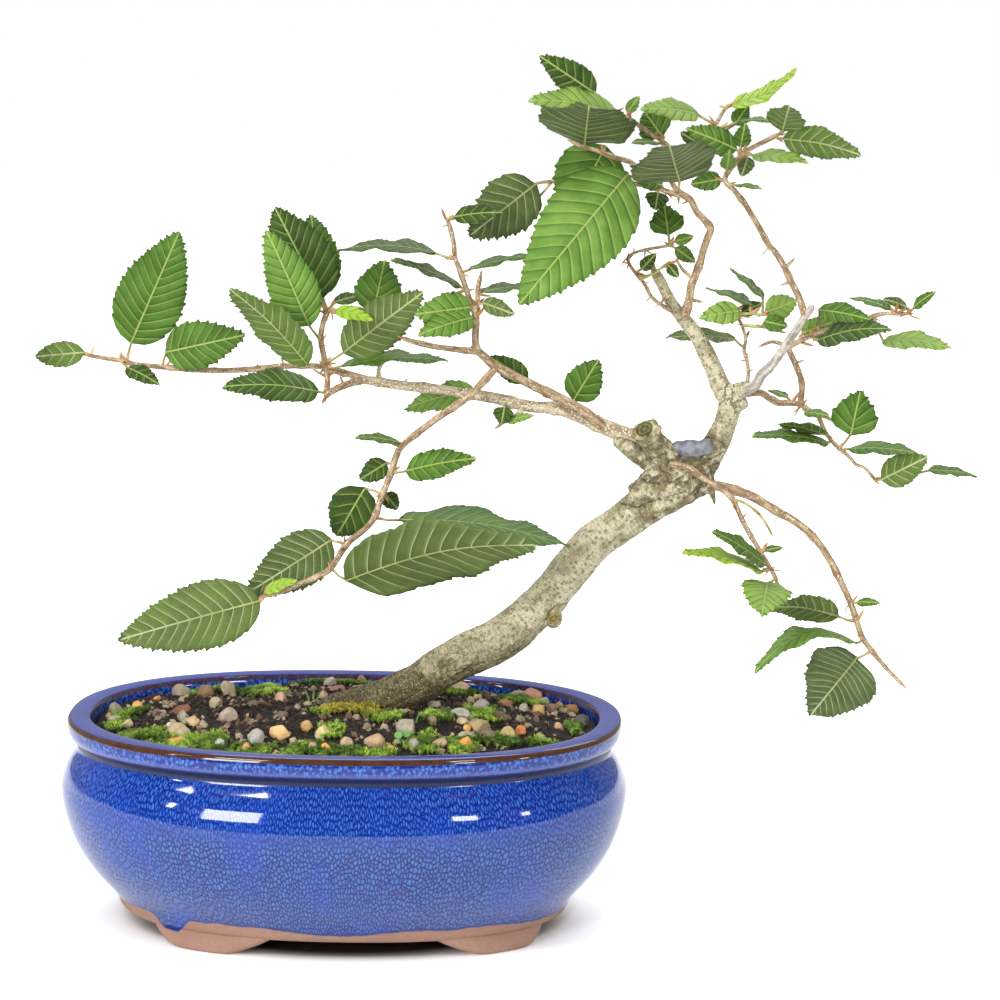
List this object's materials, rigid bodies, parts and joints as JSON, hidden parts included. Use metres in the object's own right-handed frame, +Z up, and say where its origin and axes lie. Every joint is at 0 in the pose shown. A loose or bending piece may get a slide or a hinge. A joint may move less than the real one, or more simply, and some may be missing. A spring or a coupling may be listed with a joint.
{
  "type": "potted bonsai tree",
  "caption": "Small broadleaf bonsai tree with spreading branches and toothed leaves, rooted in an oval glazed ceramic pot on bracket feet.",
  "frame": {"origin": "centre of the whole object's bounding box, on the plane the pot's feet stand on", "axes": "+X along the pot's length, towards the viewer's right; +Y away from the viewer, across the pot; +Z up"},
  "size_m": [0.3178, 0.1442, 0.294],
  "materials": {
    "pot_glaze": "glossy mottled blue glaze over bare brown clay feet",
    "drain_plastic": "matte black",
    "bark": "grey-brown bark with pale flecks",
    "foliage": "green leaves on tan twigs",
    "paste": "matte grey putty",
    "soil": "dark damp soil with small stones"
  },
  "bodies": {
    "root": {"pot": "pot_glaze", "drain_mesh_left": "drain_plastic", "drain_mesh_right": "drain_plastic", "trunk": "bark", "wound_paste": "paste", "soil": "soil", "branch_left": "bark", "spray_mid_left": "foliage", "spray_lower_left": "foliage", "spray_left_cluster": "foliage", "spray_far_left": "foliage", "spray_crown_left": "foliage", "spray_crown_right": "foliage", "spray_tuft": "foliage", "spray_right_middle": "foliage", "spray_right_lower": "foliage", "spray_right_upper": "foliage", "spray_lower_right": "foliage", "spray_hanging": "foliage"}
  },
  "joints": []
}
